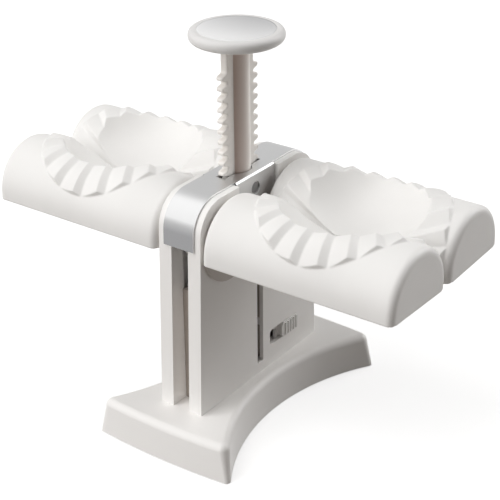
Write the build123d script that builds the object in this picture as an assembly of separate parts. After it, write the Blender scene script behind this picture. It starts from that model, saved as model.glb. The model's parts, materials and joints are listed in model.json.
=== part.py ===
from build123d import *
import math
import os

os.makedirs("parts", exist_ok=True)

# Frame: X along the mould axes, Y from the front to the back, Z up from the table.
# The origin is the middle of the base, on the table.

# Base
base_half_length = 46.9
base_half_depth = 74.7
base_draft = 1.7
base_end_bulge = 2.6
base_waist = 23.6
base_height = 22.3
base_wall = 2.6
base_corner_radius = 2.4
base_edge_radius = 4.5
base_corner_margin = 0.1
foot_lift = 0.6
foot_radius = 6.0
foot_thickness = 2.6
foot_inset_x = 19.0
foot_inset_y = 11.5
foot_post_wall = 1.6

# Column
column_half_width = 13.8
column_half_depth = 56.5
column_draft = 4.2
column_top = 146.5
column_shoulder_radius = 18.0
shell_wall = 2.5
shell_inner_face = 5.5
post_depth = 13.0
slit_width = 5.6
slit_bottom = 29.0
slit_top = 104.0
base_screw_y = 48.8
base_screw_depth = 12.0
joint_screw_y = 31.0
joint_screw_heights = (58.0, 84.0)
core_half_depth = 45.0
core_wall = 2.5
core_top = 91.0
guide_half_gap = 17.0

# Moulds
flange_mesh_gap = 0.2
axis_height = 119.5
mould_start = 15.4
mould_end = 130.0
mould_radius = 26.9
mould_skirt_drop = 4.5
mould_wall = 3.0
mould_end_radius = 2.2
mould_rest_tilt = 2.0
bowl_centre_x = 74.0
bowl_radius = 46.0
bowl_floor = 124.0
bowl_skin = 2.6
rib_thickness = 2.2
rib_places = (53.5, 99.0)
axle_block_half_width = 5.6
axle_block_length = 32.0

# Pleated flange round each bowl
pleat_count = 14
pleat_steep_share = 0.3
pleat_crest = 2.2
pleat_valley = 0.1
flange_half_length = 52.5
flange_reach = 72.5
flange_end_slope = 0.9
flange_bed_depth = 1.2
flange_key_depth = 1.0
flange_root_depth = 2.2
flange_side_lap = 2.2
flange_bed_margin = 1.6
flange_inner_clear = 13.5
flange_stations = (0.27, 0.42, 0.57, 0.72, 0.86)
flange_inner_station = 0.20

# Drive
gear_module = 1.9
pinion_teeth = 15
pressure_angle = 20.0
tooth_thinning = 0.2
pinion_half_width = 4.2
press_travel = 38.0
axle_flats = 6.0
axle_end_length = 2.0
hub_radius = 22.9
hub_gap = 0.3
hub_neck_radius = 6.5
hub_neck_length = 5.0
running_clearance = 0.08
fit_clearance = 0.05
clip_radius = 5.2
clip_thickness = 0.8
clip_gap = 0.1
clip_mouth = 4.2

# Press rack and knob
rack_thickness = 4.6
rack_bottom = 74.5
rack_teeth_below = 2
rack_teeth_above = 14
rack_tip_radius = 0.75
rack_addendum = 1.9
rack_dedendum = 2.4
rib_half_width = 7.5
rib_height = 4.2
rib_bottom = 92.0
knob_radius = 25.6
knob_bottom = 219.9
knob_thickness = 6.6
knob_edge_radius = 3.1
knob_dish_radius = 21.0
knob_dish_depth = 1.3
knob_cap_thickness = 1.4
knob_cap_hollow = 0.5
knob_socket_depth = 2.5
knob_screw_length = 11.0
stop_pin_radius = 1.7
stop_pin_height = 101.9
stop_pin_half_length = 13.2
spring_pad_radius = 5.4
spring_pad_height = 2.0
spring_radius = 4.4
spring_wire = 0.5
spring_turns = 8.0
spring_seat_radius = 3.4
spring_seat_height = 4.5

# Saddle cover
sheet_thickness = 1.0
sheet_gap = 0.1
saddle_half_width = 9.9
saddle_leg_bottom = 121.0
flap_half_width = 17.35
flap_bottom = 128.5
flap_bend_radius = 0.5
flap_gap = 0.25
flap_recess_margin = 0.9
flap_hole_radius = 3.75
flap_hole_height = 138.6
rivet_head_radius = 3.1
rivet_head_thickness = 0.7
rivet_shank_radius = 1.5
slot_clearance = 0.6

# Lock slider
window_front = 9.5
window_back = 37.5
window_bottom = 35.0
window_top = 45.0
window_corner = 2.8
lock_travel = 11.0
lock_knob_length = 16.5
lock_clearance = 0.25
lock_knob_stand = 0.9
lock_ridges = 5
lock_ridge_pitch = 2.7
lock_ridge_width = 1.2
lock_ridge_height = 0.8
lock_plate_thickness = 2.1
lock_plate_lap = 1.4
lock_finger_bottom = 41.0
lock_finger_top = 45.4
lock_finger_width = 6.0
lock_finger_gap = 0.6
lock_catch_play = 1.0

# Fasteners
screw_shank = 1.5
screw_head = 3.2
screw_head_height = 2.2
screw_hole_gap = 0.1
boss_radius = 3.8

# Sizes worked out from the ones above
axis_half_spacing = mould_radius + (pleat_crest + pleat_valley) / 2 + flange_mesh_gap
axle_block_end = mould_start + axle_block_length
clip_place = axle_block_end + clip_gap
axle_end = clip_place + clip_thickness + axle_end_length
column_slope = column_draft / (column_top - base_height)
pinion_pitch_radius = gear_module * pinion_teeth / 2
rack_pitch_line = axis_half_spacing - pinion_pitch_radius
rack_tip = rack_pitch_line + rack_addendum
rack_root = rack_pitch_line - rack_dedendum
tooth_pitch = math.pi * gear_module
hex_corner = axle_flats / 2 / math.cos(math.radians(30))
base_top_inside = base_height - base_wall
core_floor = base_height + core_wall
saddle_top = column_top + sheet_gap + sheet_thickness
flap_inside = saddle_half_width + flap_bend_radius
flap_outside = flap_inside + sheet_thickness
recess_face = flap_inside - flap_gap
slot_half_width = rack_thickness / 2 + slot_clearance
rib_top = rack_thickness / 2 + rib_height
rack_catch_bottom = lock_finger_bottom - lock_catch_play + press_travel
rack_catch_top = lock_finger_top + lock_catch_play + press_travel
lock_finger_tip = guide_half_gap
outer_face_inside = column_half_width - shell_wall


def block(x, y, z):
    """A box from its low and high places on each axis."""
    centre = Pos((x[0] + x[1]) / 2, (y[0] + y[1]) / 2, (z[0] + z[1]) / 2)
    return centre * Box(x[1] - x[0], y[1] - y[0], z[1] - z[0])


def rod_x(radius, x, y, z):
    """A round bar along X."""
    return Pos((x[0] + x[1]) / 2, y, z) * Rot(0, 90, 0) * Cylinder(radius, x[1] - x[0])


def rod_z(radius, x, y, z):
    """A round bar along Z."""
    return Pos(x, y, (z[0] + z[1]) / 2) * Cylinder(radius, z[1] - z[0])


def hex_x(corner, x, y, z):
    """A hexagonal bar along X, with flats above and below."""
    outline = Plane.YZ * Rot(0, 0, 0) * RegularPolygon(corner, 6)
    return Pos(x[0], y, z) * extrude(outline, x[1] - x[0], dir=(1, 0, 0))


def side_sketch(outline, x):
    """Carries an outline drawn in Y and Z along X."""
    return Pos(x[0], 0, 0) * extrude(outline, x[1] - x[0], dir=(1, 0, 0))


def column_outline(bottom, grow):
    """The column's outline in Y and Z, narrower upwards, with two round shoulders."""
    top = column_top + grow
    low = column_half_depth + grow - column_slope * (bottom - base_height)
    high = column_half_depth + grow - column_slope * (top - base_height)
    outline = make_face(Polyline((-low, bottom), (low, bottom), (high, top), (-high, top),
                                 close=True))
    shoulders = outline.vertices().sort_by(Axis.Y)[-2:]
    return Plane.YZ * fillet(shoulders, column_shoulder_radius + grow)


def base_outline(inset, corner):
    """The hourglass plan of the base, drawn in by inset, with round corners."""
    x = base_half_length - inset
    y = base_half_depth - inset
    front = ThreePointArc((-x, -y), (0, -y - base_end_bulge), (x, -y))
    right = ThreePointArc((x, -y), (base_waist - inset, 0), (x, y))
    back = ThreePointArc((x, y), (0, y + base_end_bulge), (-x, y))
    left = ThreePointArc((-x, y), (inset - base_waist, 0), (-x, -y))
    outline = make_face([front, right, back, left])
    return fillet(outline.vertices(), corner)


def base_block(inset, bottom, top):
    """The base's body, narrower and rounder at its top, drawn in by inset."""
    top_corner = base_edge_radius + base_corner_margin
    low = Pos(0, 0, bottom) * base_outline(inset, base_corner_radius)
    high = Pos(0, 0, top) * base_outline(inset + base_draft, top_corner)
    return loft([low, high], ruled=True)


def foot_places():
    x = base_half_length - foot_inset_x
    y = base_half_depth - foot_inset_y
    return [(sx * x, sy * y) for sx in (-1, 1) for sy in (-1, 1)]


def base_screw_places():
    x = (shell_inner_face + column_half_width) / 2
    return [(sx * x, sy * base_screw_y) for sx in (-1, 1) for sy in (-1, 1)]


def make_base_shell():
    outer = base_block(0, foot_lift, base_height)
    outer = fillet(outer.faces().sort_by(Axis.Z)[-1].edges(), base_edge_radius)
    shell = outer - base_block(base_wall, 0, base_top_inside)
    for x, y in foot_places():
        shell += rod_z(foot_radius + foot_post_wall, x, y, (foot_lift, base_top_inside))
        shell -= rod_z(foot_radius + fit_clearance, x, y, (0, foot_thickness))
    for x, y in base_screw_places():
        shell -= rod_z(screw_shank + screw_hole_gap, x, y, (0, base_height))
    return shell


def make_base_feet():
    return [rod_z(foot_radius, x, y, (0, foot_thickness)) for x, y in foot_places()]


def make_base_screws():
    screws = []
    for x, y in base_screw_places():
        head = rod_z(screw_head, x, y, (base_top_inside - screw_head_height, base_top_inside))
        shank_top = base_height + base_screw_depth - 2
        shank = rod_z(screw_shank, x, y, (base_top_inside, shank_top))
        screws.append(head + shank)
    return screws


def make_column_shell(side):
    """One half of the column: a deep tray, closed on its outer side. side is 1 or -1."""
    span = (shell_inner_face, column_half_width)
    shell = side_sketch(column_outline(base_height, 0), span)
    pocket_half = column_half_depth - post_depth
    pocket_top = column_top - shell_wall
    shell -= block((0, outer_face_inside), (-pocket_half, pocket_half), (core_floor, pocket_top))
    recess_half = flap_half_width + flap_recess_margin
    recess_bottom = flap_bottom - flap_recess_margin
    tub = (recess_face - shell_wall, outer_face_inside)
    shell += block(tub, (-recess_half - shell_wall, recess_half + shell_wall),
                   (recess_bottom - shell_wall, pocket_top))
    shell -= block((recess_face, column_half_width), (-recess_half, recess_half),
                   (recess_bottom, column_top))
    shell -= block((0, rib_top + slot_clearance), (-rib_half_width - slot_clearance,
                   rib_half_width + slot_clearance), (rib_bottom, column_top))
    neck = hub_neck_radius + running_clearance
    for y in (-axis_half_spacing, axis_half_spacing):
        bearing = (column_half_width - hub_neck_length - hub_gap, column_half_width)
        shell += rod_x(neck + shell_wall, bearing, y, axis_height)
        shell -= rod_x(neck, (0, column_half_width), y, axis_height)
    for y in (-joint_screw_y, joint_screw_y):
        for z in joint_screw_heights:
            shell += rod_x(boss_radius, (shell_inner_face, outer_face_inside), y, z)
            shell -= rod_x(screw_shank + screw_hole_gap, (0, outer_face_inside), y, z)
            if side < 0:
                shell -= rod_x(screw_shank + screw_hole_gap, span, y, z)
                seat = column_half_width - screw_head_height
                shell -= rod_x(screw_head + screw_hole_gap, (seat, column_half_width), y, z)
    for x, y in base_screw_places():
        if x > 0:
            shell -= rod_z(screw_shank + screw_hole_gap, x, y,
                           (base_height, base_height + base_screw_depth))
    shell -= block((outer_face_inside, column_half_width), (-slit_width / 2, slit_width / 2),
                   (slit_bottom, slit_top))
    rivet = screw_hole_gap + rivet_shank_radius
    shell -= rod_x(rivet, (0, recess_face), 0, flap_hole_height)
    if side > 0:
        return shell + lock_rails() - lock_window()
    return mirror(shell, Plane.YZ)


def lock_window():
    """The window that the lock knob slides in, with round corners."""
    window = block((outer_face_inside - 1, column_half_width + 1), (window_front, window_back),
                   (window_bottom, window_top))
    return fillet(window.edges().filter_by(Axis.X), window_corner)


def lock_rails():
    """Two rails with lips, above and below the slider's plate."""
    bottom = window_bottom - lock_plate_lap - lock_clearance
    top = window_top + lock_plate_lap + lock_clearance
    plate_back = outer_face_inside - lock_clearance - lock_plate_thickness
    lip = plate_back - lock_clearance
    y = (window_front - lock_plate_lap, window_back + 2 * lock_plate_lap)
    rails = block((lip, outer_face_inside), y, (bottom - 1.4, bottom))
    rails += block((lip, outer_face_inside), y, (top, top + 1.4))
    rails += block((lip - 1.2, lip), y, (bottom - 1.4, bottom + 1.0))
    rails += block((lip - 1.2, lip), y, (top - 1.0, top + 1.4))
    return rails


def make_column_core():
    """The frame between the shells: two hollow boxes on one floor, with the rack's way between."""
    x = (-shell_inner_face, shell_inner_face)
    core = block(x, (-core_half_depth, core_half_depth), (base_height, core_floor))
    for side in (-1, 1):
        outer = sorted((side * guide_half_gap, side * core_half_depth))
        inner = (outer[0] + core_wall, outer[1] - core_wall)
        core += block(x, outer, (base_height, core_top))
        core -= block(x, inner, (core_floor, core_top - core_wall))
        core += block((-core_wall / 2, core_wall / 2), inner, (core_floor, core_top - core_wall))
        for z in joint_screw_heights:
            core += rod_x(boss_radius, x, side * joint_screw_y, z)
            core -= rod_x(screw_shank + screw_hole_gap, x, side * joint_screw_y, z)
    core += rod_z(spring_seat_radius, 0, 0, (base_height, core_floor + spring_seat_height))
    way = lock_finger_gap + lock_finger_top
    core -= block((-lock_finger_gap - rack_thickness / 2, shell_inner_face),
                  (guide_half_gap, lock_finger_tip + lock_finger_width + lock_finger_gap),
                  (lock_finger_bottom - lock_finger_gap, way))
    return core


def make_column_screws():
    screws = []
    for y in (-joint_screw_y, joint_screw_y):
        for z in joint_screw_heights:
            seat = column_half_width - screw_head_height
            head = rod_x(screw_head, (-column_half_width, -seat), y, z)
            shank = rod_x(screw_shank, (-seat, outer_face_inside - 1), y, z)
            screws.append(head + shank)
    return screws


def make_saddle_cover():
    gap = sheet_gap + sheet_thickness
    outside = column_outline(saddle_leg_bottom, gap)
    inside = column_outline(saddle_leg_bottom, sheet_gap)
    cover = side_sketch(outside - inside, (-saddle_half_width, saddle_half_width))
    y = (-flap_half_width, flap_half_width)
    bend_z = column_top + sheet_gap - flap_bend_radius
    for side in (-1, 1):
        bend = rod_y(flap_bend_radius + sheet_thickness, side * saddle_half_width, y, bend_z)
        bend -= rod_y(flap_bend_radius, side * saddle_half_width, y, bend_z)
        corner = sorted((side * saddle_half_width, side * flap_outside))
        cover += bend & block(corner, y, (bend_z, saddle_top))
        flap = sorted((side * flap_inside, side * flap_outside))
        cover += block(flap, y, (flap_bottom, bend_z))
    cover -= rod_x(flap_hole_radius, (-flap_outside, flap_outside), 0, flap_hole_height)
    slot_half_length = rack_tip + slot_clearance
    cover -= block((-slot_half_width, slot_half_width), (-slot_half_length, slot_half_length),
                   (column_top, saddle_top))
    opening = rib_sketch(slot_clearance)
    cover -= Pos(0, 0, column_top) * extrude(opening, 2 * gap)
    return cover


def rod_y(radius, x, y, z):
    """A round bar along Y."""
    return Pos(x, (y[0] + y[1]) / 2, z) * Rot(90, 0, 0) * Cylinder(radius, y[1] - y[0])


def make_saddle_rivets():
    rivets = []
    for side in (-1, 1):
        head = sorted((side * (recess_face + fit_clearance),
                       side * (recess_face + rivet_head_thickness)))
        shank = sorted((side * (recess_face - shell_wall), side * (recess_face + fit_clearance)))
        rivets.append(rod_x(rivet_head_radius, head, 0, flap_hole_height)
                      + rod_x(rivet_shank_radius, shank, 0, flap_hole_height))
    return rivets


def rack_tooth():
    """One tooth of the rack on the +Y edge, its middle at height 0, with a rounded tip."""
    slope = math.tan(math.radians(pressure_angle))
    half = tooth_pitch / 4 - tooth_thinning / 2
    tip = half - rack_addendum * slope
    root = half + rack_dedendum * slope
    inner = rack_root - 1
    outline = make_face(Polyline((inner, -root), (rack_root, -root), (rack_tip, -tip),
                                 (rack_tip, tip), (rack_root, root), (inner, root), close=True))
    ends = outline.vertices().sort_by(Axis.X)[-2:]
    return Plane.YZ * fillet(ends, rack_tip_radius * 0.98)


def rib_sketch(extra):
    """The plan of the rack's two round ribs, one on each face, grown by extra."""
    half = rib_half_width + extra
    top = rib_top + extra
    right = ThreePointArc((0, -half), (top, 0), (0, half))
    left = ThreePointArc((0, half), (-top, 0), (0, -half))
    return make_face([right, left])


def make_press_rack():
    thickness = (-rack_thickness / 2, rack_thickness / 2)
    top = knob_bottom + knob_socket_depth
    bar = block(thickness, (-rack_root, rack_root), (rack_bottom, knob_bottom))
    tongue = rack_root - 4
    bar += block(thickness, (-tongue, tongue), (knob_bottom, top))
    tooth = side_sketch(rack_tooth(), thickness)
    for step in range(-rack_teeth_below, rack_teeth_above + 1):
        placed = Pos(0, 0, axis_height + step * tooth_pitch) * tooth
        bar += placed
        bar += mirror(placed, Plane.XZ)
    bar += Pos(0, 0, rib_bottom) * extrude(rib_sketch(0), knob_bottom - rib_bottom)
    bar += rod_z(spring_pad_radius, 0, 0, (rack_bottom, rack_bottom + spring_pad_height))
    catch_floor = lock_finger_tip - lock_travel - lock_clearance
    bar -= block(thickness, (catch_floor, rack_root), (rack_catch_bottom, rack_catch_top))
    bar -= rod_x(stop_pin_radius + fit_clearance, (-rib_top, rib_top), 0, stop_pin_height)
    bar -= rod_z(screw_shank, 0, 0, (top - knob_screw_length, top))
    return bar


def make_rack_stop_pin():
    length = (-stop_pin_half_length, stop_pin_half_length)
    return rod_x(stop_pin_radius, length, 0, stop_pin_height)


def make_press_knob():
    top = knob_bottom + knob_thickness
    disc = rod_z(knob_radius, 0, 0, (knob_bottom, top))
    rims = disc.edges().filter_by(GeomType.CIRCLE)
    disc = fillet(rims, knob_edge_radius)
    disc -= rod_z(knob_dish_radius, 0, 0, (top - knob_dish_depth - knob_cap_thickness, top))
    tongue = rack_root - 4 + fit_clearance
    half = rack_thickness / 2 + fit_clearance
    disc -= block((-half, half), (-tongue, tongue), (knob_bottom, knob_bottom + knob_socket_depth))
    disc -= rod_z(screw_shank + screw_hole_gap, 0, 0, (knob_bottom, top))
    return disc


def make_knob_cap():
    """The disc that closes the knob's top, with a shallow round hollow."""
    top = knob_bottom + knob_thickness - knob_dish_depth
    radius = knob_dish_radius - fit_clearance
    cap = rod_z(radius, 0, 0, (top - knob_cap_thickness, top))
    head_space = rod_z(screw_head + screw_hole_gap, 0, 0,
                       (top - knob_cap_thickness, top - knob_cap_thickness + 0.6))
    reach = knob_dish_radius + knob_edge_radius
    hollow = (reach ** 2 + knob_cap_hollow ** 2) / 2 / knob_cap_hollow
    cap -= Pos(0, 0, top - knob_cap_hollow + hollow) * Sphere(hollow)
    return cap - head_space


def make_knob_screw():
    seat = knob_bottom + knob_thickness - knob_dish_depth - knob_cap_thickness
    head = rod_z(screw_head, 0, 0, (seat, seat + 0.5))
    low = knob_bottom + knob_socket_depth - knob_screw_length + 1
    return head + rod_z(screw_shank - fit_clearance, 0, 0, (low, seat))


def make_return_spring():
    """A compression spring, one unbroken coil between its two seats."""
    low = core_floor + spring_wire + fit_clearance
    high = rack_bottom - spring_wire - fit_clearance
    path = Helix((high - low) / spring_turns, high - low, spring_radius)
    start = path @ 0
    section = Plane(origin=start, z_dir=path % 0) * Circle(spring_wire)
    return Pos(0, 0, low) * sweep(section, path=path, is_frenet=True)


def make_pinion(side):
    """A pinion on its own axis: a gap between two teeth faces the rack. side is -1 in front."""
    base_radius = pinion_pitch_radius * math.cos(math.radians(pressure_angle))
    half_pitch = (tooth_pitch / 4 - tooth_thinning / 2) / pinion_pitch_radius
    involute = math.tan(math.radians(pressure_angle)) - math.radians(pressure_angle)
    tip_radius = pinion_pitch_radius + rack_addendum
    root_radius = pinion_pitch_radius - rack_dedendum
    flank = [(root_radius, half_pitch + involute)]
    for step in range(7):
        radius = base_radius + (tip_radius - base_radius) * step / 6
        turn = math.acos(min(1, base_radius / radius))
        flank.append((radius, half_pitch + involute - math.tan(turn) + turn))
    points = []
    for tooth in range(pinion_teeth):
        middle = 2 * math.pi * (tooth + 0.5) / pinion_teeth
        points += [(r * math.cos(middle - a), r * math.sin(middle - a)) for r, a in flank]
        points += [(r * math.cos(middle + a), r * math.sin(middle + a)) for r, a in flank[::-1]]
    outline = make_face(Polyline(*points, close=True))
    facing = Rot(0, 0, 0 if side < 0 else 180) * outline
    gear = side_sketch(Plane.YZ * facing, (-pinion_half_width, pinion_half_width))
    gear -= hex_x(hex_corner + fit_clearance, (-pinion_half_width, pinion_half_width), 0, 0)
    return Pos(0, side * axis_half_spacing, axis_height) * gear


def make_axle(side):
    return hex_x(hex_corner, (-axle_end, axle_end), side * axis_half_spacing, axis_height)


def make_axle_clips(side):
    """Two spring clips that hold the moulds on the axle's ends."""
    clips = []
    y = side * axis_half_spacing
    for end in (-1, 1):
        span = sorted((end * clip_place, end * (clip_place + clip_thickness)))
        ring = rod_x(clip_radius, span, y, axis_height)
        ring -= hex_x(hex_corner + fit_clearance, span, y, axis_height)
        ring -= block(span, (y - clip_mouth / 2, y + clip_mouth / 2),
                      (axis_height - clip_radius, axis_height))
        clips.append(ring)
    return clips


def make_hub(end, side):
    """The round hub between column and mould: a disc with a neck that turns in the shell."""
    y = side * axis_half_spacing
    face = column_half_width + hub_gap
    disc = rod_x(hub_radius, (face, mould_start), y, axis_height)
    disc = fillet(disc.edges().filter_by(GeomType.CIRCLE).sort_by(Axis.X)[0], 0.8)
    hub = disc + rod_x(hub_neck_radius, (face - hub_neck_length, face), y, axis_height)
    hub -= hex_x(hex_corner + fit_clearance, (0, mould_start), y, axis_height)
    return hub if end > 0 else mirror(hub, Plane.YZ)


def mould_outline(radius, drop):
    """A mould's section: a half round on two straight sides. Its centre is the axis."""
    top = ThreePointArc((radius, 0), (0, radius), (-radius, 0))
    sides = Polyline((-radius, 0), (-radius, -drop), (radius, -drop), (radius, 0))
    return Plane.YZ * make_face([top, sides])


def flange_point(along, beta, height):
    """A point of the flange from its polar place on the unrolled half round.
    along is the distance from the bowl's middle, beta the direction, 0 towards +X."""
    x = bowl_centre_x + along * math.cos(beta)
    turn = along * math.sin(beta) / mould_radius
    radius = mould_radius + height
    return (x, radius * math.cos(turn), radius * math.sin(turn))


def flange_lines(complement):
    """Directions of the valleys and crests, in radians, with the share of the crest at each."""
    pitch = math.pi / pleat_count
    lines = []
    for pleat in range(pleat_count):
        lines.append((pleat * pitch, 0))
        lines.append(((pleat + pleat_steep_share) * pitch, 1))
    lines.append((math.pi, 0))
    if complement:
        lines = [(beta, 1 - crest) for beta, crest in lines]
    return lines


def flange_rows(complement):
    """Rows of top and bottom points, one row for each valley, crest and end line."""
    lap = math.radians(flange_side_lap)
    lines = [(-lap, None)] + flange_lines(complement) + [(math.pi + lap, None)]
    middle = (pleat_crest + pleat_valley) / 2
    swing = (pleat_crest - pleat_valley) / 2
    rows = []
    for beta, crest in lines:
        reach = 1 / math.hypot(math.cos(beta) / flange_half_length, math.sin(beta) / flange_reach)
        places = [(flange_inner_station * reach, -flange_key_depth)]
        for share in flange_stations:
            height = -flange_key_depth
            if crest is not None:
                height = middle + (2 * crest - 1) * swing * share
            places.append((share * reach, height))
        height = -flange_key_depth
        if crest is not None:
            height = middle + (2 * crest - 1) * swing
        places.append((reach - flange_end_slope * max(height, 0), height))
        places.append((reach + flange_end_slope * flange_key_depth, -flange_key_depth))
        top = [flange_point(along, beta, height) for along, height in places]
        bottom = [flange_point(along, beta, -flange_root_depth) for along, _ in places]
        rows.append((top, bottom))
    return rows


def triangles(a, b, c, d):
    """Two flat faces that fill the gap between four points."""
    return [Face(Wire.make_polygon(corner, close=True)) for corner in ((a, b, c), (a, c, d))]


def make_flange(complement):
    """The pleated flange as one closed solid of flat facets, about the axis, rooted in the wall."""
    rows = flange_rows(complement)
    faces = []
    last = len(rows[0][0]) - 1
    for (top, bottom), (next_top, next_bottom) in zip(rows, rows[1:]):
        for step in range(last):
            faces += triangles(top[step], top[step + 1], next_top[step + 1], next_top[step])
            faces += triangles(bottom[step], next_bottom[step], next_bottom[step + 1],
                               bottom[step + 1])
        for step in (0, last):
            faces += triangles(top[step], next_top[step], next_bottom[step], bottom[step])
    for top, bottom in (rows[0], rows[-1]):
        for step in range(last):
            faces += triangles(top[step], bottom[step], bottom[step + 1], top[step + 1])
    solid = Solid(Shell(faces))
    return solid if solid.volume > 0 else Solid(Shell([-face for face in faces]))


def make_mould(complement):
    """A right-hand mould half for the front side, built about its axis and then tilted."""
    inside_radius = mould_radius - mould_wall
    block_outline = mould_outline(mould_radius, mould_skirt_drop)
    pillow = side_sketch(block_outline, (mould_start, mould_end))
    ends = pillow.faces().filter_by(Axis.X).edges()
    rims = [edge for edge in ends if edge.center().Z > -mould_skirt_drop + 0.1]
    pillow = fillet(rims, mould_end_radius)
    hollow_span = (mould_start + mould_wall, mould_end - mould_wall)
    hollow = side_sketch(mould_outline(inside_radius, mould_skirt_drop), hollow_span)
    ball_centre = Pos(bowl_centre_x, axis_half_spacing, bowl_floor + bowl_radius - axis_height)
    mould = pillow - hollow
    mould += pillow & (ball_centre * Sphere(bowl_radius + bowl_skin))
    for x in rib_places:
        mould += hollow & block((x, x + rib_thickness), (-mould_radius, mould_radius),
                                (-mould_skirt_drop, mould_radius))
    mould += block((mould_start + mould_wall - 1, axle_block_end),
                   (-axle_block_half_width, axle_block_half_width),
                   (-mould_skirt_drop, axle_block_half_width))
    bed = rod_x(mould_radius + 2 * pleat_crest, (0, mould_end), 0, 0)
    bed -= rod_x(mould_radius - flange_bed_depth, (0, mould_end), 0, 0)
    bed &= rod_z(flange_half_length - flange_bed_margin, bowl_centre_x, axis_half_spacing,
                 (0, mould_radius + pleat_crest))
    bed -= rod_z(flange_inner_clear, bowl_centre_x, axis_half_spacing,
                 (0, mould_radius + pleat_crest))
    mould -= bed
    mould += make_flange(complement)
    mould -= ball_centre * Sphere(bowl_radius)
    mould = Rot(-mould_rest_tilt, 0, 0) * mould
    mould -= hex_x(hex_corner + fit_clearance, (0, axle_block_end), 0, 0)
    return Pos(0, -axis_half_spacing, axis_height) * mould


def make_lock_slider():
    knob_back = window_back - lock_clearance
    knob = ((outer_face_inside - lock_clearance - lock_plate_thickness,
             column_half_width + lock_knob_stand),
            (knob_back - lock_knob_length, knob_back),
            (window_bottom + lock_clearance, window_top - lock_clearance))
    slider = block(*knob)
    slider = fillet(slider.edges().filter_by(Axis.X), window_corner - lock_clearance)
    for ridge in range(lock_ridges):
        y = knob_back - 1.6 - ridge * lock_ridge_pitch
        slider += block((column_half_width, knob[0][1] + lock_ridge_height),
                        (y - lock_ridge_width, y),
                        (window_bottom + 4 * lock_clearance, window_top - 4 * lock_clearance))
    plate = (knob[0][0], outer_face_inside - lock_clearance)
    slider += block(plate, (knob[1][0] - lock_plate_lap, knob[1][1] + lock_plate_lap),
                    (window_bottom - lock_plate_lap, window_top + lock_plate_lap))
    slider += block((-rack_thickness / 2, plate[1]),
                    (lock_finger_tip, lock_finger_tip + lock_finger_width),
                    (lock_finger_bottom, lock_finger_top))
    return slider


def save(name, shape):
    """Writes one node. A list of solids is kept as a group of separate solids."""
    if isinstance(shape, list):
        shape = Compound(children=[piece.solid() for piece in shape])
    export_step(shape, os.path.join("parts", name + ".step"))


def main():
    save("base_shell", make_base_shell())
    save("base_feet", make_base_feet())
    save("base_screws", make_base_screws())
    save("column_shell_right", make_column_shell(1))
    save("column_shell_left", make_column_shell(-1))
    save("column_core", make_column_core())
    save("column_screws", make_column_screws())
    save("saddle_cover", make_saddle_cover())
    save("saddle_rivets", make_saddle_rivets())
    save("return_spring", make_return_spring())
    save("press_rack", make_press_rack())
    save("rack_stop_pin", make_rack_stop_pin())
    save("press_knob", make_press_knob())
    save("knob_cap", make_knob_cap())
    save("knob_screw", make_knob_screw())
    save("lock_slider", make_lock_slider())
    half_turn = Rot(0, 0, 180)
    front_right = make_mould(False)
    back_right = mirror(make_mould(True), Plane.XZ)
    moulds = {"right_front": front_right, "right_back": back_right,
              "left_front": half_turn * back_right, "left_back": half_turn * front_right}
    for place, mould in moulds.items():
        save("mould_" + place, mould)
    for side, place in ((-1, "front"), (1, "back")):
        save("pinion_" + place, make_pinion(side))
        save("axle_" + place, make_axle(side))
        save("axle_clips_" + place, make_axle_clips(side))
        save("hub_right_" + place, make_hub(1, side))
        save("hub_left_" + place, make_hub(-1, side))


main()
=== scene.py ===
import json
import math

import bmesh
import bpy
from mathutils import Matrix, Vector


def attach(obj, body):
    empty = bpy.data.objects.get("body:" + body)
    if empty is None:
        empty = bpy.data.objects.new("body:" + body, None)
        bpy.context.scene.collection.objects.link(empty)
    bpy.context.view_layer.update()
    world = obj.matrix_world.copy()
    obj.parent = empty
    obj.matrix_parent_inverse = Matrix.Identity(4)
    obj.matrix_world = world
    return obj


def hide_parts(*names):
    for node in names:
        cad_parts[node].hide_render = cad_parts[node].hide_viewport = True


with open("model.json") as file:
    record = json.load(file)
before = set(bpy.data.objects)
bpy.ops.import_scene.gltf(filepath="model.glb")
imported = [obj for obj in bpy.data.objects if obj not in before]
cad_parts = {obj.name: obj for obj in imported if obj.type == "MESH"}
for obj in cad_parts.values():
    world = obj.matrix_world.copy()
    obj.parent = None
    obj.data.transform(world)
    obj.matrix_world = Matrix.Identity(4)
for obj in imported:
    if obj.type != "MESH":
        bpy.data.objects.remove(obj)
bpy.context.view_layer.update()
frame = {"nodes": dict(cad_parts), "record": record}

MM = 0.001
nodes = frame["nodes"]

# Camera, from the photograph
PICTURE_SIZE = 500
SENSOR_MM = 36.0
FOCAL_PX = 1395.5
CAMERA_MM = (412.65, -559.40, 453.42)
CAMERA_YAW = 35.94
CAMERA_PITCH = -27.13
CAMERA_ROLL = -0.59

# The moulds' axes, and the half-round body of a mould about its axis, in mm
AXIS_Y = 28.25
AXIS_Z = 119.5
REST_TILT = 2.0
MOULD_START = 15.4
MOULD_END = 130.0
MOULD_R = 26.9
MOULD_DROP = 4.5
MOULD_WALL = 3.0
MOULD_EDGE = 4.0

# The bowl shared by two moulds, and the ribs and axle block under it
BOWL_X = 74.0
BOWL_R = 46.0
BOWL_FLOOR = 124.0
BOWL_SKIN = 2.6
RIBS_X = (53.5, 99.0)
RIB_THICKNESS = 2.2
RIB_INSET = 0.8
AXLE_BLOCK_HALF = 5.6
AXLE_BLOCK_START = MOULD_START + 1
AXLE_BLOCK_END = 47.4

# The pleated flange: its reach, its heights over the body and the lap at its two sides
FLANGE_HALF_LENGTH = 52.5
FLANGE_REACH = 72.5
FLANGE_INNER = 0.2
PLEATS = 14
STEEP_SHARE = 0.3
CREST = 2.4
VALLEY = -0.1
PLEAT_GROWTH = 0.75
END_SLOPE = 0.6
KEY_DEPTH = 1.0
ROOT_DEPTH = 2.2
SIDE_LAP = 2.2

# Grid of the remesh that rounds the edges, in mm
VOXEL = 0.5
RACK_VOXEL = 0.3

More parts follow.
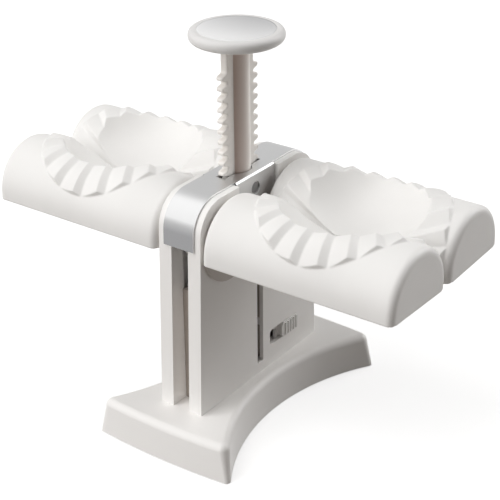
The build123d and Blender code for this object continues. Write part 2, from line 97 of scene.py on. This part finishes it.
# Rack: a bar with teeth over a range of pitches from the axes, and a rib on each face
RACK_HALF_THICKNESS = 2.3
RACK_CORNER = 1.0
RACK_BOTTOM = 74.5
RACK_PITCH = 1.9 * math.pi
RACK_PITCH_LINE = 14.0
RACK_TOOTH_HALF = 2.0
RACK_ROUNDNESS = 1.9
RACK_TEETH = (-2.5, 14.5)
RACK_PLAIN_HALF = 11.9
RIB_HALF = 7.5
RIB_TOP = 6.5
RIB_BOTTOM = 92.0
RIB_CLEAR = 0.1

# Knob and its dished cap
KNOB_R = 25.6
KNOB_BOTTOM = 219.9
KNOB_TOP = 226.5
KNOB_EDGE = 3.1
DISH_R = 21.0
DISH_LIP = 1.2
LIP_TURN = 115
DISH_HOLLOW = 1.9
DISH_SHAPE = 2.6
CAP_SEAT = 1.2
CAP_EDGE = KNOB_TOP - DISH_LIP * (1 - math.sin(math.radians(LIP_TURN)))

# Soft boxes: azimuth from +X towards +Y and elevation in degrees, power in watts
KEY_LAMPS = (("key_low", 240, 18, 29.0), ("key_high", 240, 57, 29.5))
OTHER_LAMPS = (("back_low", 60, 15, 16.0), ("back_high", 60, 38, 17.0), ("top", 0, 90, 10.0))
LAMP_TARGET = (0.0, 0.0, 0.1)
LAMP_DISTANCE = 2.4
LAMP_SIZE = 2.0
# A wide dim lamp that only shows in reflections, most of all on the strap's front bend
CARD = ("card", 212, 36, 19.8, 3.6)

# Warm light in the shade, the room as reflections show it, and the floor
SHADE_TINT = (1.0, 0.935, 0.87, 1.0)
SHADE_STRENGTH = 0.09
MIRRORED_STRENGTH = 0.9
FLOOR_BOUNCE = (0.26, 0.235, 0.215, 1.0)
FLOOR_TONE = (0.62, 0.62, 0.62, 1.0)
FLOOR_GLOW = 0.62
FLOOR_HALF_M = 6.0

# Noise of the materials, in waves per metre, and the plastic's refraction
CLOUD_NOISE = 14.0
GLOSS_NOISE = 60.0
GRAIN_NOISE = 2200.0
PLASTIC_IOR = 1.46

# Rounded edges on the frame's own parts: their widths by the start of a part's name
EDGES_MM = {"base_shell": 0.5, "column_shell": 1.6, "column_core": 0.4, "saddle_cover": 0.25,
            "hub": 0.4, "lock_slider": 0.5, "saddle_rivets": 0.15}
WELD_MM = 0.002
FLAT_ANGLE = 0.5
EDGE_ANGLE = 35
EDGE_SEGMENTS = 3


def camera():
    """The photograph's camera: its place, its three turns and its focal length."""
    yaw, pitch, roll = (math.radians(a) for a in (CAMERA_YAW, CAMERA_PITCH, CAMERA_ROLL))
    forward = Vector((-math.sin(yaw) * math.cos(pitch), math.cos(yaw) * math.cos(pitch),
                      math.sin(pitch)))
    right = Vector((math.cos(yaw), math.sin(yaw), 0.0))
    up = right.cross(forward)
    rolled_right = right * math.cos(roll) + up * math.sin(roll)
    rolled_up = up * math.cos(roll) - right * math.sin(roll)
    data = bpy.data.cameras.new("camera")
    data.sensor_width = SENSOR_MM
    data.lens = FOCAL_PX / PICTURE_SIZE * SENSOR_MM
    data.clip_end = 20.0
    obj = link(bpy.data.objects.new("camera", data))
    turn = Matrix((rolled_right, rolled_up, -forward)).transposed().to_4x4()
    obj.matrix_world = Matrix.Translation(Vector(CAMERA_MM) * MM) @ turn
    bpy.context.scene.camera = obj


def linear(value):
    """A colour part as it is seen, turned into the shader's linear number."""
    return value / 12.92 if value <= 0.04045 else ((value + 0.055) / 1.055) ** 2.4


def colour(r, g, b):
    return (linear(r), linear(g), linear(b), 1.0)


class Nodes:
    """A material's node tree, with short calls to add and join nodes."""

    def __init__(self, name):
        self.material = bpy.data.materials.new(name)
        self.material.use_nodes = True
        self.tree = self.material.node_tree
        self.shader = self.tree.nodes["Principled BSDF"]

    def add(self, kind):
        return self.tree.nodes.new("ShaderNode" + kind)

    def maths(self, operation):
        node = self.add("Math")
        node.operation = operation
        return node

    def join(self, source, target):
        self.tree.links.new(source, target)

    def noise(self, scale, detail=3.0):
        """Noise in the object's own coordinates."""
        noise = self.add("TexNoise")
        noise.inputs["Scale"].default_value = scale
        noise.inputs["Detail"].default_value = detail
        self.join(self.add("TexCoord").outputs["Object"], noise.inputs["Vector"])
        return noise.outputs["Fac"]

    def parts(self, vector):
        """A vector's X, Y and Z."""
        node = self.add("SeparateXYZ")
        self.join(vector, node.inputs[0])
        return node.outputs

    def normal(self):
        """The X, Y and Z of the way that the surface faces."""
        return self.parts(self.add("NewGeometry").outputs["Normal"])

    def place(self):
        """The X, Y and Z of a point in the object's own coordinates."""
        return self.parts(self.add("TexCoord").outputs["Object"])

    def unsigned(self, value):
        node = self.maths("ABSOLUTE")
        self.join(value, node.inputs[0])
        return node.outputs[0]

    def ramp(self, factor, low, high, start=0.35, end=0.65):
        """A colour from low at the factor's start to high at its end."""
        ramp = self.add("ValToRGB")
        ramp.color_ramp.elements[0].position = start
        ramp.color_ramp.elements[1].position = end
        ramp.color_ramp.elements[0].color = low
        ramp.color_ramp.elements[1].color = high
        self.join(factor, ramp.inputs["Fac"])
        return ramp.outputs["Color"]

    def clouded(self, factor, tone, spread):
        """A tone that goes from a little darker to a little paler with the factor."""
        low = colour(*(c - spread for c in tone))
        high = colour(*(min(c + spread, 1.0) for c in tone))
        return self.ramp(factor, low, high)

    def span(self, factor, low, high, start=0.0, end=1.0):
        """Spreads a factor from start to end over low to high."""
        node = self.add("MapRange")
        node.inputs["From Min"].default_value = start
        node.inputs["From Max"].default_value = end
        node.inputs["To Min"].default_value = low
        node.inputs["To Max"].default_value = high
        self.join(factor, node.inputs["Value"])
        return node.outputs["Result"]

    def base_colour(self, output):
        self.join(output, self.shader.inputs["Base Color"])

    def gloss(self, factor, low, high):
        """Roughness from low to high with the factor."""
        self.join(self.span(factor, low, high), self.shader.inputs["Roughness"])

    def bump(self, height, distance, strength=0.3):
        node = self.add("Bump")
        node.inputs["Distance"].default_value = distance
        node.inputs["Strength"].default_value = strength
        self.join(height, node.inputs["Height"])
        self.join(node.outputs["Normal"], self.shader.inputs["Normal"])


def moulded(n, low, high, grain=0.00004):
    """Plastic with uneven gloss, from a low to a high roughness, and a very fine grain."""
    n.gloss(n.noise(GLOSS_NOISE, 2.0), low, high)
    n.bump(n.noise(GRAIN_NOISE, 2.0), grain)
    n.shader.inputs["IOR"].default_value = PLASTIC_IOR
    return n.material


def plastic(name, tone, rough=0.38, spread=0.012):
    """Moulded plastic with faint clouding."""
    n = Nodes(name)
    n.base_colour(n.clouded(n.noise(CLOUD_NOISE, 4.0), tone, spread))
    return moulded(n, rough - 0.05, rough + 0.06)


def dish_painted_shade_plastic(name, front, back):
    """Glossier plastic with painted shade at the back of the knob's dish and painted light at
    its front, paling from back to front.
    """
    n = Nodes(name)
    across = n.span(n.place()["Y"], 0.0, 1.0, start=-DISH_R * MM, end=DISH_R * MM)
    n.base_colour(n.ramp(across, colour(*front), colour(*back), start=0.05, end=0.95))
    return moulded(n, 0.14, 0.22, grain=0.00002)


def rack_plastic(name, tone, front, back):
    """Moulded plastic, its tone paler than the white plastic's as painted light, whose
    half-round ribs have painted shade on their front flank and painted light on their back.
    """
    n = Nodes(name)
    # Painted shade and light on the ribs: their colour goes by which way they face, dark to the
    # front and light to the back.
    turn = n.span(n.normal()["Y"], 0.0, 1.0, start=-1.0, end=0.4)
    on_rib = n.maths("GREATER_THAN")
    on_rib.inputs[1].default_value = (RACK_HALF_THICKNESS + RIB_CLEAR) * MM
    n.join(n.unsigned(n.place()["X"]), on_rib.inputs[0])
    both = n.add("MixRGB")
    n.join(on_rib.outputs[0], both.inputs["Fac"])
    n.join(n.clouded(n.noise(CLOUD_NOISE, 4.0), tone, 0.01), both.inputs["Color1"])
    n.join(n.ramp(turn, colour(*front), colour(*back), start=0.0, end=1.0),
           both.inputs["Color2"])
    n.base_colour(both.outputs["Color"])
    return moulded(n, 0.37, 0.48)


def metal(name, tone, rough):
    """Bright metal with a fine uneven grain."""
    n = Nodes(name)
    grain = n.noise(300.0)
    n.base_colour(n.clouded(grain, tone, 0.03))
    n.gloss(grain, rough - 0.06, rough + 0.08)
    n.bump(grain, 0.00002, 0.2)
    n.shader.inputs["Metallic"].default_value = 1.0
    return n.material


def strap_metal(name, side, top, rough):
    """Satin sheet metal with a fine grain, and painted shade: darker where it hangs down at
    front and back, lighter where it faces up.
    """
    n = Nodes(name)
    grain = n.noise(1400.0)
    # Painted shade by facing: the more the metal faces front or back, the darker it is painted.
    hanging_shade = n.unsigned(n.normal()["Y"])
    n.base_colour(n.ramp(hanging_shade, colour(*top), colour(*side), start=0.9, end=1.0))
    n.gloss(grain, rough - 0.06, rough + 0.08)
    n.bump(grain, 0.000008, 0.2)
    n.shader.inputs["Metallic"].default_value = 1.0
    return n.material


def rubber(name, tone):
    """Matt rubber with a coarse grain."""
    n = Nodes(name)
    n.base_colour(n.clouded(n.noise(90.0, 4.0), tone, 0.03))
    n.gloss(n.noise(300.0), 0.7, 0.9)
    n.bump(n.noise(1500.0), 0.00008)
    return n.material


def dress(obj, material):
    """Gives every slot of an object the same material."""
    obj.data.materials.clear()
    obj.data.materials.append(material)
    for face in obj.data.polygons:
        face.material_index = 0


def link(obj):
    bpy.context.scene.collection.objects.link(obj)
    return obj


def shade_smooth(mesh):
    mesh.polygons.foreach_set("use_smooth", [True] * len(mesh.polygons))


def new_object(name, mesh, material, body, replaced):
    """A smooth visible piece that moves with a body and stands in for a node."""
    shade_smooth(mesh)
    obj = link(bpy.data.objects.new(name, mesh))
    dress(obj, material)
    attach(obj, body)
    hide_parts(replaced)


def scratch(name, verts, faces):
    """A working object from points in mm. It is removed when its shape has been used."""
    mesh = bpy.data.meshes.new(name)
    mesh.from_pydata([tuple(c * MM for c in v) for v in verts], [], faces)
    bm = bmesh.new()
    bm.from_mesh(mesh)
    bmesh.ops.recalc_face_normals(bm, faces=bm.faces)
    bm.to_mesh(mesh)
    bm.free()
    return link(bpy.data.objects.new(name, mesh))


def evaluated(obj):
    """The object's mesh with its modifiers applied."""
    bpy.context.view_layer.update()
    graph = bpy.context.evaluated_depsgraph_get()
    return bpy.data.meshes.new_from_object(obj.evaluated_get(graph))


def combine(obj, other, operation):
    """Takes other away from obj, or keeps what they share. other is then removed."""
    boolean = obj.modifiers.new("combine", "BOOLEAN")
    boolean.operation = operation
    boolean.solver = "EXACT"
    boolean.object = other
    mesh = evaluated(obj)
    obj.modifiers.remove(boolean)
    obj.data = mesh
    bpy.data.objects.remove(other)
    return obj


def brick(x, y, z):
    """A plain block between low and high places, in mm."""
    verts = [(a, b, c) for a in x for b in y for c in z]
    faces = [(0, 1, 3, 2), (4, 6, 7, 5), (0, 4, 5, 1), (2, 3, 7, 6), (0, 2, 6, 4), (1, 5, 7, 3)]
    return scratch("brick", verts, faces)


def ball(x, y, z, radius, parts=128):
    """A round ball, in mm."""
    mesh = bpy.data.meshes.new("ball")
    bm = bmesh.new()
    bmesh.ops.create_uvsphere(bm, u_segments=parts, v_segments=parts // 2, radius=radius * MM)
    bmesh.ops.translate(bm, verts=bm.verts, vec=Vector((x, y, z)) * MM)
    bm.to_mesh(mesh)
    bm.free()
    return link(bpy.data.objects.new("ball", mesh))


def loft(rings):
    """A closed solid through rings of points with the same count, capped at both ends."""
    count = len(rings[0])
    verts = [p for ring in rings for p in ring]
    faces = [tuple(range(count)), tuple(range(len(verts) - count, len(verts)))]
    for ring in range(len(rings) - 1):
        for i in range(count):
            j = (i + 1) % count
            a = ring * count
            faces.append((a + i, a + j, a + count + j, a + count + i))
    return scratch("loft", verts, faces)


def half_round(x, radius, steps=72):
    """The upper half of a circle about the mould's axis, at x."""
    arc = [math.pi * i / steps for i in range(steps + 1)]
    return [(x, radius * math.cos(a), radius * math.sin(a)) for a in arc]


def mould_section(x, inset):
    """The section of a mould's body at x, drawn in by inset."""
    radius = MOULD_R - inset
    return half_round(x, radius) + [(x, -radius, -MOULD_DROP), (x, radius, -MOULD_DROP)]


def pillow(steps=6):
    """The mould's outer body with rounded end edges."""
    rings = []
    for end, inward in ((MOULD_START, 1), (MOULD_END, -1)):
        edge = []
        for i in range(steps + 1):
            a = math.pi / 2 * i / steps
            depth = MOULD_EDGE * (1 - math.sin(a))
            edge.append(mould_section(end + inward * MOULD_EDGE * (1 - math.cos(a)), depth))
        rings += edge if inward > 0 else edge[::-1]
    return loft(rings)


def hollow():
    """The space under the mould's wall, open at the bottom."""
    inside = MOULD_R - MOULD_WALL
    rings = []
    for x in (MOULD_START + MOULD_WALL, MOULD_END - MOULD_WALL):
        mouth = [(x, -inside, -2 * MOULD_DROP), (x, inside, -2 * MOULD_DROP)]
        rings.append(half_round(x, inside) + mouth)
    return loft(rings)


def pleat_lines(complement):
    """Directions of the valleys and crests, with 1 at a crest and 0 at a valley."""
    pitch = math.pi / PLEATS
    lines = []
    for pleat in range(PLEATS):
        lines.append((pleat * pitch, 0.0))
        lines.append(((pleat + STEEP_SHARE) * pitch, 1.0))
    lines.append((math.pi, 0.0))
    return [(b, 1.0 - c) for b, c in lines] if complement else lines


def pleat_height(crest, share):
    """The flange's height over the body, at a share of its reach. None is a side's lap."""
    if crest is None:
        return -KEY_DEPTH
    middle = (CREST + VALLEY) / 2
    swing = (CREST - VALLEY) / 2
    return middle + (2 * crest - 1) * swing * share ** PLEAT_GROWTH


def flange_ray(beta, crest, steps=26):
    """The flange's section along a ray from the bowl's middle, its top and then its root."""
    reach = 1 / math.hypot(math.cos(beta) / FLANGE_HALF_LENGTH, math.sin(beta) / FLANGE_REACH)
    first = FLANGE_INNER * reach
    last = reach - END_SLOPE * max(pleat_height(crest, 1.0), 0.0)
    places = [(first, -KEY_DEPTH)]
    for i in range(steps + 1):
        along = first + (last - first) * (i + 0.5) / (steps + 0.5)
        places.append((along, pleat_height(crest, along / last)))
    places.append((reach + END_SLOPE * KEY_DEPTH, -KEY_DEPTH))
    root = [(along, -ROOT_DEPTH) for along, _ in reversed(places)]
    return [flange_point(along, beta, height) for along, height in places + root]


def flange(complement, across=6):
    """The pleated flange as a closed solid about the mould's axis, rooted in the wall."""
    lines = pleat_lines(complement)
    lap = math.radians(SIDE_LAP)
    rays = [(-lap, None)]
    for (b0, c0), (b1, c1) in zip(lines, lines[1:]):
        for i in range(across):
            t = i / across
            rays.append((b0 + (b1 - b0) * t, c0 + (c1 - c0) * t))
    rays += [lines[-1], (math.pi + lap, None)]
    return loft([flange_ray(beta, crest) for beta, crest in rays])


def flange_point(along, beta, height):
    """A point on the half round from its polar place on the unrolled surface."""
    turn = along * math.sin(beta) / MOULD_R
    radius = MOULD_R + height
    return (BOWL_X + along * math.cos(beta), radius * math.cos(turn), radius * math.sin(turn))


def softened(obj, voxel, rounds):
    """The object's mesh with all edges rounded a little, as moulded plastic has them."""
    remesh = obj.modifiers.new("remesh", "REMESH")
    remesh.mode = "VOXEL"
    remesh.voxel_size = voxel * MM
    smooth = obj.modifiers.new("smooth", "SMOOTH")
    smooth.factor = 0.5
    smooth.iterations = rounds
    mesh = evaluated(obj)
    bpy.data.objects.remove(obj)
    return mesh


def gathered(objs):
    """Several overlapping solids as one object, for the remesh to merge."""
    bm = bmesh.new()
    for obj in objs:
        bm.from_mesh(obj.data)
        bpy.data.objects.remove(obj)
    mesh = bpy.data.meshes.new("gathered")
    bm.to_mesh(mesh)
    bm.free()
    return link(bpy.data.objects.new("gathered", mesh))


def mould_mesh(complement):
    """A front mould on the right side, about its own axis and then tilted to its rest."""
    centre = (BOWL_X, AXIS_Y, BOWL_FLOOR + BOWL_R - AXIS_Z)
    solids = [combine(pillow(), hollow(), "DIFFERENCE")]
    solids.append(combine(pillow(), ball(*centre, BOWL_R + BOWL_SKIN), "INTERSECT"))
    for x in RIBS_X:
        ends = (x, x + RIB_THICKNESS)
        solids.append(loft([mould_section(end, RIB_INSET) for end in ends]))
    solids.append(flange(complement))
    solids = [combine(obj, ball(*centre, BOWL_R, parts=192), "DIFFERENCE") for obj in solids]
    solids.append(brick((AXLE_BLOCK_START, AXLE_BLOCK_END), (-AXLE_BLOCK_HALF, AXLE_BLOCK_HALF),
                        (-MOULD_DROP, AXLE_BLOCK_HALF)))
    mesh = softened(gathered(solids), VOXEL, 2)
    mesh.transform(Matrix.Rotation(math.radians(-REST_TILT), 4, "X"))
    mesh.transform(Matrix.Translation(Vector((0, -AXIS_Y, AXIS_Z)) * MM))
    return mesh


def make_moulds(material):
    """The four moulds. Those that face each other have complementary pleats."""
    plain = mould_mesh(False)
    other = mould_mesh(True)
    other.transform(Matrix.Scale(-1, 4, (0, 1, 0)))
    other.flip_normals()
    half_turn = Matrix.Rotation(math.pi, 4, "Z")
    for place, mesh, turn, body in (
            ("right_front", plain, False, "front_shaft"),
            ("right_back", other, False, "back_shaft"),
            ("left_front", other, True, "front_shaft"),
            ("left_back", plain, True, "back_shaft")):
        own = mesh.copy()
        if turn:
            own.transform(half_turn)
        new_object("pleated_mould_" + place, own, material, body,
                   "mould_" + place)


def lathe(profile, parts=160):
    """A round solid about Z through points (radius, height) in mm, from axis to axis."""
    verts = [(0, 0, profile[0][1])]
    rim = profile[1:-1]
    for radius, z in rim:
        for i in range(parts):
            a = 2 * math.pi * i / parts
            verts.append((radius * math.cos(a), radius * math.sin(a), z))
    verts.append((0, 0, profile[-1][1]))
    faces = []
    last = len(verts) - 1
    for i in range(parts):
        j = (i + 1) % parts
        faces.append((0, 1 + j, 1 + i))
        for ring in range(len(rim) - 1):
            a = 1 + ring * parts
            faces.append((a + i, a + j, a + parts + j, a + parts + i))
        top = 1 + (len(rim) - 1) * parts
        faces.append((top + i, top + j, last))
    return scratch("lathe", verts, faces)


def bend(centre, radius, start, end, steps=8):
    """Points of an arc in the profile plane, between two directions in degrees."""
    turn = [math.radians(start + (end - start) * i / steps) for i in range(steps + 1)]
    return [(centre[0] + radius * math.cos(a), centre[1] + radius * math.sin(a)) for a in turn]


def turned(name, profile, material, node):
    """A round piece of the knob, from its profile."""
    disc = lathe(profile)
    mesh = disc.data
    bpy.data.objects.remove(disc)
    new_object(name, mesh, material, "press", node)


def make_knob(material):
    """The palm knob: a thick disc with round edges and a shallow dish with a soft lip."""
    profile = [(0, KNOB_BOTTOM)]
    profile += bend((KNOB_R - KNOB_EDGE, KNOB_BOTTOM + KNOB_EDGE), KNOB_EDGE, -90, 0)
    profile += bend((KNOB_R - KNOB_EDGE, KNOB_TOP - KNOB_EDGE), KNOB_EDGE, 0, 90)
    lip = DISH_R - DISH_LIP * math.cos(math.radians(LIP_TURN))
    profile += bend((lip, KNOB_TOP - DISH_LIP), DISH_LIP, 90, LIP_TURN, 5)
    profile += [(DISH_R, CAP_EDGE - CAP_SEAT), (0, CAP_EDGE - CAP_SEAT - DISH_HOLLOW)]
    turned("palm_knob", profile, material, "press_knob")


def make_cap(material, steps=24):
    """The dished disc let into the knob."""
    profile = [(0, CAP_EDGE - CAP_SEAT - DISH_HOLLOW), (DISH_R, CAP_EDGE - CAP_SEAT)]
    for i in range(steps, -1, -1):
        rise = DISH_HOLLOW * (i / steps) ** DISH_SHAPE
        profile.append((DISH_R * i / steps, CAP_EDGE - DISH_HOLLOW + rise))
    turned("dished_cap", profile, material, "knob_cap")


def rack_edge(z):
    """How far out the rack's edge lies at a height: round teeth, or a plain edge."""
    step = (z - AXIS_Z) / RACK_PITCH
    if not RACK_TEETH[0] < step < RACK_TEETH[1]:
        return RACK_PLAIN_HALF
    wave = math.tanh(RACK_ROUNDNESS * math.cos(2 * math.pi * step)) / math.tanh(RACK_ROUNDNESS)
    return RACK_PITCH_LINE + RACK_TOOTH_HALF * wave


def rack_section(edge):
    """The bar's plan at one height: a long shape with well rounded corners."""
    flat = RACK_HALF_THICKNESS - RACK_CORNER
    points = []
    for sx, sy, start in ((1, -1, -90), (1, 1, 0), (-1, 1, 90), (-1, -1, 180)):
        centre = (sx * flat, sy * (edge - RACK_CORNER))
        points += bend(centre, RACK_CORNER, start, start + 90, 6)
    return points


def rack_bar(steps=460):
    """The bar, from its bottom to the knob."""
    rings = []
    for i in range(steps + 1):
        z = RACK_BOTTOM + (KNOB_BOTTOM - RACK_BOTTOM) * i / steps
        rings.append([(x, y, z) for x, y in rack_section(rack_edge(z))])
    return loft(rings)


def rack_ribs(steps=24):
    """The round ribs on both faces of the bar, as one solid."""
    radius = (RIB_HALF ** 2 + RIB_TOP ** 2) / 2 / RIB_TOP
    reach = math.asin(RIB_HALF / radius)
    plan = []
    for side in (1, -1):
        for i in range(steps + 1):
            a = reach * (2 * i / steps - 1) * side
            plan.append((side * (radius * math.cos(a) - radius + RIB_TOP), radius * math.sin(a)))
    return loft([[(x, y, z) for x, y in plan] for z in (RIB_BOTTOM, KNOB_BOTTOM)])


def make_rack(material):
    """The press rack: a bar with round teeth on both edges and a round rib on both faces."""
    mesh = softened(gathered([rack_bar(), rack_ribs()]), RACK_VOXEL, 3)
    new_object("toothed_bar", mesh, material, "press", "press_rack")


def floor_material():
    """Plain white with a faint shadow to the camera and mirrors, and clear from below."""
    material = bpy.data.materials.new("floor")
    material.use_nodes = True
    tree = material.node_tree
    tree.nodes.clear()
    add, join = tree.nodes.new, tree.links.new
    glow = add("ShaderNodeEmission")
    glow.inputs["Strength"].default_value = FLOOR_GLOW
    matt = add("ShaderNodeBsdfDiffuse")
    matt.inputs["Color"].default_value = FLOOR_TONE
    shown = add("ShaderNodeAddShader")
    join(glow.outputs[0], shown.inputs[0])
    join(matt.outputs[0], shown.inputs[1])
    bounce = add("ShaderNodeBsdfDiffuse")
    bounce.inputs["Color"].default_value = FLOOR_BOUNCE
    path = add("ShaderNodeLightPath")
    seen = add("ShaderNodeMath")
    seen.operation = "MAXIMUM"
    join(path.outputs["Is Camera Ray"], seen.inputs[0])
    join(path.outputs["Is Glossy Ray"], seen.inputs[1])
    above = add("ShaderNodeMixShader")
    join(seen.outputs[0], above.inputs["Fac"])
    join(bounce.outputs[0], above.inputs[1])
    join(shown.outputs[0], above.inputs[2])
    both_sides = add("ShaderNodeMixShader")
    join(add("ShaderNodeNewGeometry").outputs["Backfacing"], both_sides.inputs["Fac"])
    join(above.outputs[0], both_sides.inputs[1])
    join(add("ShaderNodeBsdfTransparent").outputs[0], both_sides.inputs[2])
    join(both_sides.outputs[0], add("ShaderNodeOutputMaterial").inputs["Surface"])
    return material


def stage():
    """The floor that the press stands on."""
    r = FLOOR_HALF_M
    mesh = bpy.data.meshes.new("floor")
    mesh.from_pydata([(-r, -r, 0), (r, -r, 0), (r, r, 0), (-r, r, 0)], [], [(0, 1, 2, 3)])
    floor = link(bpy.data.objects.new("floor", mesh))
    floor.data.materials.append(floor_material())


def lamp(name, azimuth, elevation, power, size=LAMP_SIZE):
    """A round soft box at a direction from the object, turned towards it."""
    data = bpy.data.lights.new(name, "AREA")
    data.shape = "DISK"
    data.size = size
    data.energy = power
    obj = link(bpy.data.objects.new(name, data))
    a, e = math.radians(azimuth), math.radians(elevation)
    outward = Vector((math.cos(a) * math.cos(e), math.sin(a) * math.cos(e), math.sin(e)))
    obj.location = Vector(LAMP_TARGET) + outward * LAMP_DISTANCE
    obj.rotation_euler = (-outward).to_track_quat("-Z", "Y").to_euler()
    return obj


def sky():
    """A warm dim sky, brighter in reflections and white to the camera."""
    world = bpy.data.worlds.new("world")
    bpy.context.scene.world = world
    world.use_nodes = True
    tree = world.node_tree
    add, join = tree.nodes.new, tree.links.new
    shade = tree.nodes["Background"]
    shade.inputs["Color"].default_value = SHADE_TINT
    shade.inputs["Strength"].default_value = SHADE_STRENGTH
    mirrored = add("ShaderNodeBackground")
    mirrored.inputs["Strength"].default_value = MIRRORED_STRENGTH
    white = add("ShaderNodeBackground")
    white.inputs["Color"].default_value = (1, 1, 1, 1)
    path = add("ShaderNodeLightPath")
    unseen = add("ShaderNodeMixShader")
    join(path.outputs["Is Glossy Ray"], unseen.inputs["Fac"])
    join(shade.outputs[0], unseen.inputs[1])
    join(mirrored.outputs[0], unseen.inputs[2])
    whole = add("ShaderNodeMixShader")
    join(path.outputs["Is Camera Ray"], whole.inputs["Fac"])
    join(unseen.outputs[0], whole.inputs[1])
    join(white.outputs[0], whole.inputs[2])
    join(whole.outputs[0], tree.nodes["World Output"].inputs["Surface"])


def lights():
    """The soft boxes. The key lamps don't show in reflections, where the card does."""
    for box in KEY_LAMPS:
        lamp(*box).visible_glossy = False
    for box in OTHER_LAMPS:
        lamp(*box)
    lamp(*CARD).visible_diffuse = False


def soften_cad(obj, width):
    """Narrow rounded edges on a node of the frame, as moulded or bent parts have."""
    weld = obj.modifiers.new("weld", "WELD")
    weld.merge_threshold = WELD_MM * MM
    flat = obj.modifiers.new("flat", "DECIMATE")
    flat.decimate_type = "DISSOLVE"
    flat.angle_limit = math.radians(FLAT_ANGLE)
    bevel = obj.modifiers.new("bevel", "BEVEL")
    bevel.width = width * MM
    bevel.segments = EDGE_SEGMENTS
    bevel.limit_method = "ANGLE"
    bevel.angle_limit = math.radians(EDGE_ANGLE)
    even = obj.modifiers.new("even", "WEIGHTED_NORMAL")
    even.weight = 100
    shade_smooth(obj.data)


def make_materials():
    """The materials by their slots, with the knob's two beside them."""
    return {
        "white_plastic": plastic("white_plastic", (0.93, 0.925, 0.917)),
        "drive_plastic": plastic("drive_plastic", (0.88, 0.88, 0.86), 0.5),
        # Painted light on the rack's plain faces, and painted shade and light on its ribs'
        # flanks.
        "rack_plastic": rack_plastic("rack_plastic", (0.96, 0.945, 0.925),
                                     (0.68, 0.585, 0.54), (0.985, 0.97, 0.95)),
        # The knob is a darker copy of the white plastic, as painted shade.
        "knob_painted_shade_plastic": plastic("knob_painted_shade_plastic", (0.87, 0.865, 0.86)),
        # The dish's tone: painted shade at its back, painted light at its front.
        "cap_painted_shade_plastic": dish_painted_shade_plastic("cap_painted_shade_plastic", (0.985, 0.985, 0.985), (0.74, 0.74, 0.745)),
        # The strap's metal painted darker on its front and back faces, as painted shade.
        "satin_metal": strap_metal("satin_metal", (0.57, 0.57, 0.575), (0.86, 0.86, 0.86), 0.35),
        "steel": metal("steel", (0.72, 0.715, 0.71), 0.3),
        "foot_rubber": rubber("foot_rubber", (0.3, 0.3, 0.3))}


def own_materials():
    """The materials of nodes that differ a little from their slots: a paler copy of the white
    plastic as painted light on the base and column shells, darker copies as painted shade on the
    hubs and the column's core, and the rivets' metal.
    """
    # A paler copy of the white plastic on the base and column shells, as painted light.
    pale = plastic("pale_painted_light_plastic", (0.965, 0.958, 0.949), 0.35, 0.006)
    # A darker copy of the white plastic on the hubs, as painted shade where they sit in shadow.
    hub = plastic("hub_painted_shade_plastic", (0.8, 0.77, 0.745), 0.45)
    own = {name: hub for name in nodes if name.startswith("hub")}
    own["base_shell"] = pale
    own["column_shell_right"] = pale
    own["column_shell_left"] = pale
    # A darker, browner copy of the white plastic on the column's core, as painted shade in its
    # channel.
    own["column_core"] = plastic("core_painted_shade_plastic", (0.71, 0.67, 0.64), 0.5)
    own["saddle_rivets"] = metal("rivet_metal", (0.6, 0.6, 0.6), 0.35)
    return own


def dress_frame(kinds):
    """Materials and rounded edges for the nodes of the frame."""
    own = own_materials()
    slots = {s["node"]: s["material_slot"] for s in frame["record"]["subparts"]}
    for name, obj in nodes.items():
        dress(obj, own.get(name, kinds[slots[name]]))
        for start, width in EDGES_MM.items():
            if name.startswith(start):
                soften_cad(obj, width)


camera()
stage()
sky()
lights()
kinds = make_materials()
dress_frame(kinds)
make_moulds(kinds["white_plastic"])
make_knob(kinds["knob_painted_shade_plastic"])
make_cap(kinds["cap_painted_shade_plastic"])
make_rack(kinds["rack_plastic"])
bpy.context.scene.view_settings.view_transform = "Standard"
